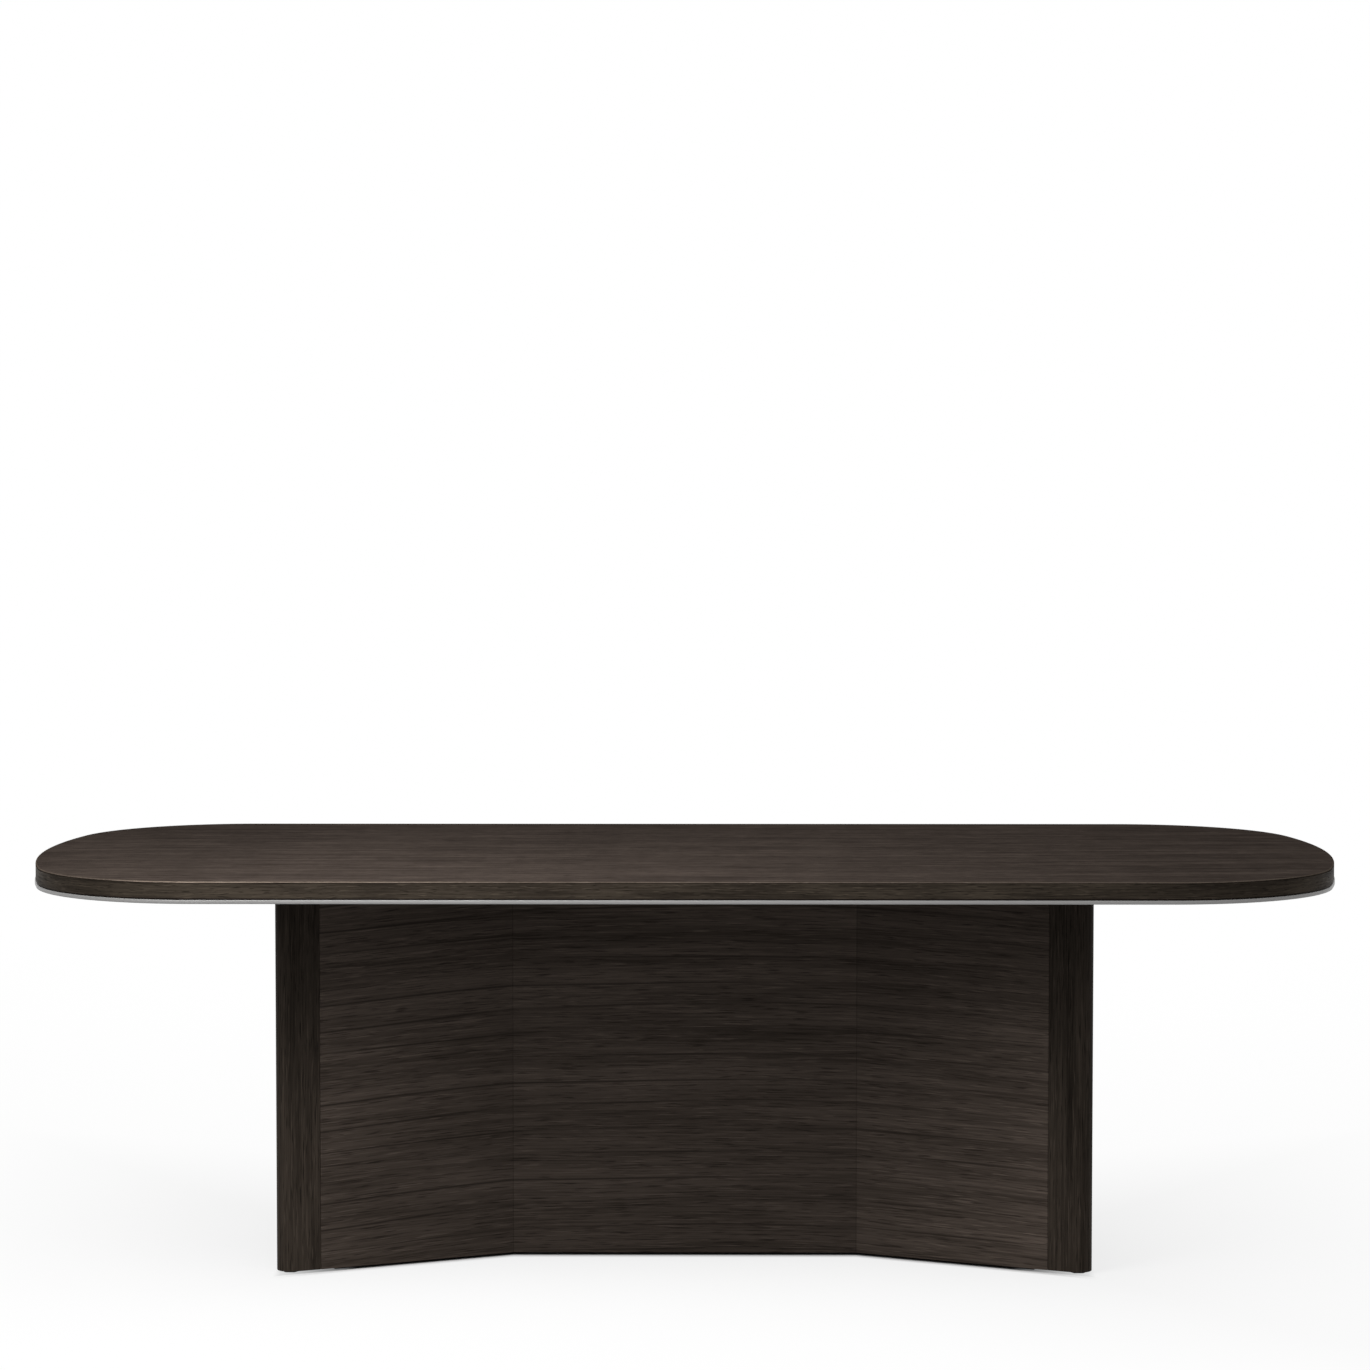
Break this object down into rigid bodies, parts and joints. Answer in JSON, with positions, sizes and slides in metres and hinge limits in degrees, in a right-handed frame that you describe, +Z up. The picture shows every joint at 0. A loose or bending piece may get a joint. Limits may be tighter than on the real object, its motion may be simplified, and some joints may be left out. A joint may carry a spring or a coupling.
{
  "type": "dining table",
  "caption": "Long dining table: bowed-end dark oak veneered top with a satin metal edge trim, on a pedestal of folded panels with rounded end posts.",
  "frame": {"origin": "on the floor under the middle of the top", "axes": "+X along the table's length, -Y towards the viewer of the picture, +Z up"},
  "size_m": [2.4, 1.1, 0.752],
  "materials": {
    "top_veneer": "smoked oak veneer, satin lacquer",
    "board": "board, sanded",
    "oak_edge": "smoked solid oak, satin lacquer",
    "trim_metal": "satin brushed",
    "black_steel": "black powder coat",
    "zinc_steel": "zinc plated",
    "panel_veneer": "smoked oak veneer, satin lacquer",
    "frame_timber": "sawn softwood",
    "oak_post": "smoked solid oak, satin lacquer",
    "nylon": "moulded nylon"
  },
  "bodies": {
    "table": {"top_veneer": "top_veneer", "top_core": "board", "backing_veneer": "board", "lipping_front": "oak_edge", "lipping_front_right": "oak_edge", "lipping_right_end": "oak_edge", "lipping_rear_right": "oak_edge", "lipping_rear": "oak_edge", "lipping_rear_left": "oak_edge", "lipping_left_end": "oak_edge", "lipping_front_left": "oak_edge", "trim_front": "trim_metal", "trim_rear": "trim_metal", "trim_left_end": "trim_metal", "trim_right_end": "trim_metal", "stiffener_front": "black_steel", "stiffener_rear": "black_steel", "tie_plate_left": "black_steel", "tie_plate_right": "black_steel", "trim_screws": "zinc_steel", "stiffener_screws": "zinc_steel", "tie_plate_screws": "zinc_steel", "top_bolts": "zinc_steel", "top_inserts": "zinc_steel", "leveller_sleeves": "zinc_steel", "front_centre_face_skin": "panel_veneer", "front_centre_inner_skin": "panel_veneer", "rear_centre_face_skin": "panel_veneer", "rear_centre_inner_skin": "panel_veneer", "front_right_wing_face_skin": "panel_veneer", "front_right_wing_inner_skin": "panel_veneer", "front_left_wing_face_skin": "panel_veneer", "front_left_wing_inner_skin": "panel_veneer", "rear_left_wing_face_skin": "panel_veneer", "rear_left_wing_inner_skin": "panel_veneer", "rear_right_wing_face_skin": "panel_veneer", "rear_right_wing_inner_skin": "panel_veneer", "front_centre_frame": "frame_timber", "rear_centre_frame": "frame_timber", "front_right_wing_frame": "frame_timber", "front_left_wing_frame": "frame_timber", "rear_left_wing_frame": "frame_timber", "rear_right_wing_frame": "frame_timber", "crease_splines": "frame_timber", "post_tongues": "frame_timber", "centre_tenons": "frame_timber", "front_right_post": "oak_post", "front_left_post": "oak_post", "rear_left_post": "oak_post", "rear_right_post": "oak_post", "floor_glides": "nylon"},
    "leveller_front_right": {"leveller_stud_front_right": "zinc_steel", "leveller_foot_front_right": "nylon"},
    "leveller_front_left": {"leveller_stud_front_left": "zinc_steel", "leveller_foot_front_left": "nylon"},
    "leveller_rear_left": {"leveller_stud_rear_left": "zinc_steel", "leveller_foot_rear_left": "nylon"},
    "leveller_rear_right": {"leveller_stud_rear_right": "zinc_steel", "leveller_foot_rear_right": "nylon"}
  },
  "joints": [
    {"name": "leveller_front_right_screw", "type": "slide", "parent": "table", "child": "leveller_front_right", "axis": [0, 0, -1], "range_m": [0, 0.015]},
    {"name": "leveller_front_left_screw", "type": "slide", "parent": "table", "child": "leveller_front_left", "axis": [0, 0, -1], "range_m": [0, 0.015]},
    {"name": "leveller_rear_left_screw", "type": "slide", "parent": "table", "child": "leveller_rear_left", "axis": [0, 0, -1], "range_m": [0, 0.015]},
    {"name": "leveller_rear_right_screw", "type": "slide", "parent": "table", "child": "leveller_rear_right", "axis": [0, 0, -1], "range_m": [0, 0.015]}
  ]
}
